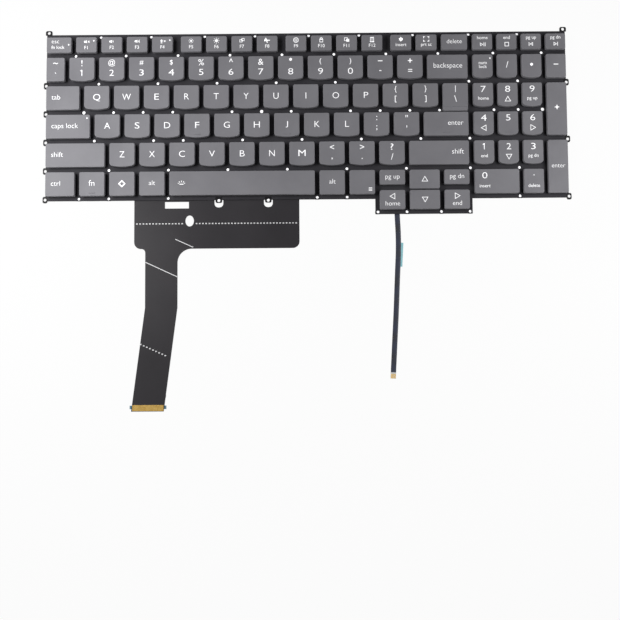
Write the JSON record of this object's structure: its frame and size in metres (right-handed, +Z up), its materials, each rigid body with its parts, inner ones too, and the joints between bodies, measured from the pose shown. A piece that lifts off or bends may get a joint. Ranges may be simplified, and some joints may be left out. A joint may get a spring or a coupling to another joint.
{
  "type": "laptop replacement keyboard",
  "caption": "Flat laptop keyboard with a number pad, scissor keys on a black plate, a dark backed film, a wide film tail with a ribbon and a narrow backlight cable.",
  "frame": {"origin": "middle of the steel plate's outline, on the surface that the back lies on", "axes": "+X to the right along the key rows, +Y towards the function row, +Z up out of the keys"},
  "size_m": [0.3378, 0.245, 0.0047],
  "materials": {
    "keycap": "fine matt grey paint",
    "plate": "matt black",
    "membrane": "matt black film",
    "dome_rubber": "translucent grey silicone",
    "link_plastic": "moulded black",
    "light_guide": "white",
    "back_film": "satin dark film",
    "cover_band": "satin blue-black film",
    "tail_film": "satin black film",
    "stiffener": "blue film",
    "liner_paper": "tan waxed paper",
    "cable_film": "satin black film",
    "contact_gold": "bare contact pads"
  },
  "bodies": {
    "board": {"base_plate": "plate", "membrane": "membrane", "rubber_domes": "dome_rubber", "scissor_outer_links": "link_plastic", "scissor_inner_links": "link_plastic", "light_guide": "light_guide", "back_film": "back_film", "tail_cover_band": "cover_band", "keyboard_tail": "tail_film", "tail_stiffener": "stiffener", "flap_liner": "liner_paper", "ribbon_liner": "liner_paper", "backlight_cable": "cable_film", "backlight_contact": "contact_gold", "function_row_keys": "keycap", "number_row_keys": "keycap", "number_pad_keys": "keycap", "modifier_keys": "keycap"},
    "key_backspace": {"key_backspace": "keycap"},
    "key_tab": {"key_tab": "keycap"},
    "key_q": {"key_q": "keycap"},
    "key_w": {"key_w": "keycap"},
    "key_e": {"key_e": "keycap"},
    "key_r": {"key_r": "keycap"},
    "key_t": {"key_t": "keycap"},
    "key_y": {"key_y": "keycap"},
    "key_u": {"key_u": "keycap"},
    "key_i": {"key_i": "keycap"},
    "key_o": {"key_o": "keycap"},
    "key_p": {"key_p": "keycap"},
    "key_left_bracket": {"key_left_bracket": "keycap"},
    "key_right_bracket": {"key_right_bracket": "keycap"},
    "key_backslash": {"key_backslash": "keycap"},
    "key_caps_lock": {"key_caps_lock": "keycap"},
    "key_a": {"key_a": "keycap"},
    "key_s": {"key_s": "keycap"},
    "key_d": {"key_d": "keycap"},
    "key_f": {"key_f": "keycap"},
    "key_g": {"key_g": "keycap"},
    "key_h": {"key_h": "keycap"},
    "key_j": {"key_j": "keycap"},
    "key_k": {"key_k": "keycap"},
    "key_l": {"key_l": "keycap"},
    "key_semicolon": {"key_semicolon": "keycap"},
    "key_quote": {"key_quote": "keycap"},
    "key_enter": {"key_enter": "keycap"},
    "key_left_shift": {"key_left_shift": "keycap"},
    "key_z": {"key_z": "keycap"},
    "key_x": {"key_x": "keycap"},
    "key_c": {"key_c": "keycap"},
    "key_v": {"key_v": "keycap"},
    "key_b": {"key_b": "keycap"},
    "key_n": {"key_n": "keycap"},
    "key_m": {"key_m": "keycap"},
    "key_comma": {"key_comma": "keycap"},
    "key_period": {"key_period": "keycap"},
    "key_slash": {"key_slash": "keycap"},
    "key_right_shift": {"key_right_shift": "keycap"},
    "key_left_ctrl": {"key_left_ctrl": "keycap"},
    "key_space": {"key_space": "keycap"}
  },
  "joints": [
    {"name": "press_backspace", "type": "slide", "parent": "board", "child": "key_backspace", "axis": [0, 0, -1], "range_m": [0, 0.0015], "stiffness_N_per_m": 250, "springref_m": -0.001, "deforming": ["rubber_domes", "scissor_outer_links", "scissor_inner_links"]},
    {"name": "press_tab", "type": "slide", "parent": "board", "child": "key_tab", "axis": [0, 0, -1], "range_m": [0, 0.0015], "stiffness_N_per_m": 250, "springref_m": -0.001, "deforming": ["rubber_domes", "scissor_outer_links", "scissor_inner_links"]},
    {"name": "press_q", "type": "slide", "parent": "board", "child": "key_q", "axis": [0, 0, -1], "range_m": [0, 0.0015], "stiffness_N_per_m": 250, "springref_m": -0.001, "deforming": ["rubber_domes", "scissor_outer_links", "scissor_inner_links"]},
    {"name": "press_w", "type": "slide", "parent": "board", "child": "key_w", "axis": [0, 0, -1], "range_m": [0, 0.0015], "stiffness_N_per_m": 250, "springref_m": -0.001, "deforming": ["rubber_domes", "scissor_outer_links", "scissor_inner_links"]},
    {"name": "press_e", "type": "slide", "parent": "board", "child": "key_e", "axis": [0, 0, -1], "range_m": [0, 0.0015], "stiffness_N_per_m": 250, "springref_m": -0.001, "deforming": ["rubber_domes", "scissor_outer_links", "scissor_inner_links"]},
    {"name": "press_r", "type": "slide", "parent": "board", "child": "key_r", "axis": [0, 0, -1], "range_m": [0, 0.0015], "stiffness_N_per_m": 250, "springref_m": -0.001, "deforming": ["rubber_domes", "scissor_outer_links", "scissor_inner_links"]},
    {"name": "press_t", "type": "slide", "parent": "board", "child": "key_t", "axis": [0, 0, -1], "range_m": [0, 0.0015], "stiffness_N_per_m": 250, "springref_m": -0.001, "deforming": ["rubber_domes", "scissor_outer_links", "scissor_inner_links"]},
    {"name": "press_y", "type": "slide", "parent": "board", "child": "key_y", "axis": [0, 0, -1], "range_m": [0, 0.0015], "stiffness_N_per_m": 250, "springref_m": -0.001, "deforming": ["rubber_domes", "scissor_outer_links", "scissor_inner_links"]},
    {"name": "press_u", "type": "slide", "parent": "board", "child": "key_u", "axis": [0, 0, -1], "range_m": [0, 0.0015], "stiffness_N_per_m": 250, "springref_m": -0.001, "deforming": ["rubber_domes", "scissor_outer_links", "scissor_inner_links"]},
    {"name": "press_i", "type": "slide", "parent": "board", "child": "key_i", "axis": [0, 0, -1], "range_m": [0, 0.0015], "stiffness_N_per_m": 250, "springref_m": -0.001, "deforming": ["rubber_domes", "scissor_outer_links", "scissor_inner_links"]},
    {"name": "press_o", "type": "slide", "parent": "board", "child": "key_o", "axis": [0, 0, -1], "range_m": [0, 0.0015], "stiffness_N_per_m": 250, "springref_m": -0.001, "deforming": ["rubber_domes", "scissor_outer_links", "scissor_inner_links"]},
    {"name": "press_p", "type": "slide", "parent": "board", "child": "key_p", "axis": [0, 0, -1], "range_m": [0, 0.0015], "stiffness_N_per_m": 250, "springref_m": -0.001, "deforming": ["rubber_domes", "scissor_outer_links", "scissor_inner_links"]},
    {"name": "press_left_bracket", "type": "slide", "parent": "board", "child": "key_left_bracket", "axis": [0, 0, -1], "range_m": [0, 0.0015], "stiffness_N_per_m": 250, "springref_m": -0.001, "deforming": ["rubber_domes", "scissor_outer_links", "scissor_inner_links"]},
    {"name": "press_right_bracket", "type": "slide", "parent": "board", "child": "key_right_bracket", "axis": [0, 0, -1], "range_m": [0, 0.0015], "stiffness_N_per_m": 250, "springref_m": -0.001, "deforming": ["rubber_domes", "scissor_outer_links", "scissor_inner_links"]},
    {"name": "press_backslash", "type": "slide", "parent": "board", "child": "key_backslash", "axis": [0, 0, -1], "range_m": [0, 0.0015], "stiffness_N_per_m": 250, "springref_m": -0.001, "deforming": ["rubber_domes", "scissor_outer_links", "scissor_inner_links"]},
    {"name": "press_caps_lock", "type": "slide", "parent": "board", "child": "key_caps_lock", "axis": [0, 0, -1], "range_m": [0, 0.0015], "stiffness_N_per_m": 250, "springref_m": -0.001, "deforming": ["rubber_domes", "scissor_outer_links", "scissor_inner_links"]},
    {"name": "press_a", "type": "slide", "parent": "board", "child": "key_a", "axis": [0, 0, -1], "range_m": [0, 0.0015], "stiffness_N_per_m": 250, "springref_m": -0.001, "deforming": ["rubber_domes", "scissor_outer_links", "scissor_inner_links"]},
    {"name": "press_s", "type": "slide", "parent": "board", "child": "key_s", "axis": [0, 0, -1], "range_m": [0, 0.0015], "stiffness_N_per_m": 250, "springref_m": -0.001, "deforming": ["rubber_domes", "scissor_outer_links", "scissor_inner_links"]},
    {"name": "press_d", "type": "slide", "parent": "board", "child": "key_d", "axis": [0, 0, -1], "range_m": [0, 0.0015], "stiffness_N_per_m": 250, "springref_m": -0.001, "deforming": ["rubber_domes", "scissor_outer_links", "scissor_inner_links"]},
    {"name": "press_f", "type": "slide", "parent": "board", "child": "key_f", "axis": [0, 0, -1], "range_m": [0, 0.0015], "stiffness_N_per_m": 250, "springref_m": -0.001, "deforming": ["rubber_domes", "scissor_outer_links", "scissor_inner_links"]},
    {"name": "press_g", "type": "slide", "parent": "board", "child": "key_g", "axis": [0, 0, -1], "range_m": [0, 0.0015], "stiffness_N_per_m": 250, "springref_m": -0.001, "deforming": ["rubber_domes", "scissor_outer_links", "scissor_inner_links"]},
    {"name": "press_h", "type": "slide", "parent": "board", "child": "key_h", "axis": [0, 0, -1], "range_m": [0, 0.0015], "stiffness_N_per_m": 250, "springref_m": -0.001, "deforming": ["rubber_domes", "scissor_outer_links", "scissor_inner_links"]},
    {"name": "press_j", "type": "slide", "parent": "board", "child": "key_j", "axis": [0, 0, -1], "range_m": [0, 0.0015], "stiffness_N_per_m": 250, "springref_m": -0.001, "deforming": ["rubber_domes", "scissor_outer_links", "scissor_inner_links"]},
    {"name": "press_k", "type": "slide", "parent": "board", "child": "key_k", "axis": [0, 0, -1], "range_m": [0, 0.0015], "stiffness_N_per_m": 250, "springref_m": -0.001, "deforming": ["rubber_domes", "scissor_outer_links", "scissor_inner_links"]},
    {"name": "press_l", "type": "slide", "parent": "board", "child": "key_l", "axis": [0, 0, -1], "range_m": [0, 0.0015], "stiffness_N_per_m": 250, "springref_m": -0.001, "deforming": ["rubber_domes", "scissor_outer_links", "scissor_inner_links"]},
    {"name": "press_semicolon", "type": "slide", "parent": "board", "child": "key_semicolon", "axis": [0, 0, -1], "range_m": [0, 0.0015], "stiffness_N_per_m": 250, "springref_m": -0.001, "deforming": ["rubber_domes", "scissor_outer_links", "scissor_inner_links"]},
    {"name": "press_quote", "type": "slide", "parent": "board", "child": "key_quote", "axis": [0, 0, -1], "range_m": [0, 0.0015], "stiffness_N_per_m": 250, "springref_m": -0.001, "deforming": ["rubber_domes", "scissor_outer_links", "scissor_inner_links"]},
    {"name": "press_enter", "type": "slide", "parent": "board", "child": "key_enter", "axis": [0, 0, -1], "range_m": [0, 0.0015], "stiffness_N_per_m": 250, "springref_m": -0.001, "deforming": ["rubber_domes", "scissor_outer_links", "scissor_inner_links"]},
    {"name": "press_left_shift", "type": "slide", "parent": "board", "child": "key_left_shift", "axis": [0, 0, -1], "range_m": [0, 0.0015], "stiffness_N_per_m": 250, "springref_m": -0.001, "deforming": ["rubber_domes", "scissor_outer_links", "scissor_inner_links"]},
    {"name": "press_z", "type": "slide", "parent": "board", "child": "key_z", "axis": [0, 0, -1], "range_m": [0, 0.0015], "stiffness_N_per_m": 250, "springref_m": -0.001, "deforming": ["rubber_domes", "scissor_outer_links", "scissor_inner_links"]},
    {"name": "press_x", "type": "slide", "parent": "board", "child": "key_x", "axis": [0, 0, -1], "range_m": [0, 0.0015], "stiffness_N_per_m": 250, "springref_m": -0.001, "deforming": ["rubber_domes", "scissor_outer_links", "scissor_inner_links"]},
    {"name": "press_c", "type": "slide", "parent": "board", "child": "key_c", "axis": [0, 0, -1], "range_m": [0, 0.0015], "stiffness_N_per_m": 250, "springref_m": -0.001, "deforming": ["rubber_domes", "scissor_outer_links", "scissor_inner_links"]},
    {"name": "press_v", "type": "slide", "parent": "board", "child": "key_v", "axis": [0, 0, -1], "range_m": [0, 0.0015], "stiffness_N_per_m": 250, "springref_m": -0.001, "deforming": ["rubber_domes", "scissor_outer_links", "scissor_inner_links"]},
    {"name": "press_b", "type": "slide", "parent": "board", "child": "key_b", "axis": [0, 0, -1], "range_m": [0, 0.0015], "stiffness_N_per_m": 250, "springref_m": -0.001, "deforming": ["rubber_domes", "scissor_outer_links", "scissor_inner_links"]},
    {"name": "press_n", "type": "slide", "parent": "board", "child": "key_n", "axis": [0, 0, -1], "range_m": [0, 0.0015], "stiffness_N_per_m": 250, "springref_m": -0.001, "deforming": ["rubber_domes", "scissor_outer_links", "scissor_inner_links"]},
    {"name": "press_m", "type": "slide", "parent": "board", "child": "key_m", "axis": [0, 0, -1], "range_m": [0, 0.0015], "stiffness_N_per_m": 250, "springref_m": -0.001, "deforming": ["rubber_domes", "scissor_outer_links", "scissor_inner_links"]},
    {"name": "press_comma", "type": "slide", "parent": "board", "child": "key_comma", "axis": [0, 0, -1], "range_m": [0, 0.0015], "stiffness_N_per_m": 250, "springref_m": -0.001, "deforming": ["rubber_domes", "scissor_outer_links", "scissor_inner_links"]},
    {"name": "press_period", "type": "slide", "parent": "board", "child": "key_period", "axis": [0, 0, -1], "range_m": [0, 0.0015], "stiffness_N_per_m": 250, "springref_m": -0.001, "deforming": ["rubber_domes", "scissor_outer_links", "scissor_inner_links"]},
    {"name": "press_slash", "type": "slide", "parent": "board", "child": "key_slash", "axis": [0, 0, -1], "range_m": [0, 0.0015], "stiffness_N_per_m": 250, "springref_m": -0.001, "deforming": ["rubber_domes", "scissor_outer_links", "scissor_inner_links"]},
    {"name": "press_right_shift", "type": "slide", "parent": "board", "child": "key_right_shift", "axis": [0, 0, -1], "range_m": [0, 0.0015], "stiffness_N_per_m": 250, "springref_m": -0.001, "deforming": ["rubber_domes", "scissor_outer_links", "scissor_inner_links"]},
    {"name": "press_left_ctrl", "type": "slide", "parent": "board", "child": "key_left_ctrl", "axis": [0, 0, -1], "range_m": [0, 0.0015], "stiffness_N_per_m": 250, "springref_m": -0.001, "deforming": ["rubber_domes", "scissor_outer_links", "scissor_inner_links"]},
    {"name": "press_space", "type": "slide", "parent": "board", "child": "key_space", "axis": [0, 0, -1], "range_m": [0, 0.0015], "stiffness_N_per_m": 250, "springref_m": -0.001, "deforming": ["rubber_domes", "scissor_outer_links", "scissor_inner_links"]}
  ]
}
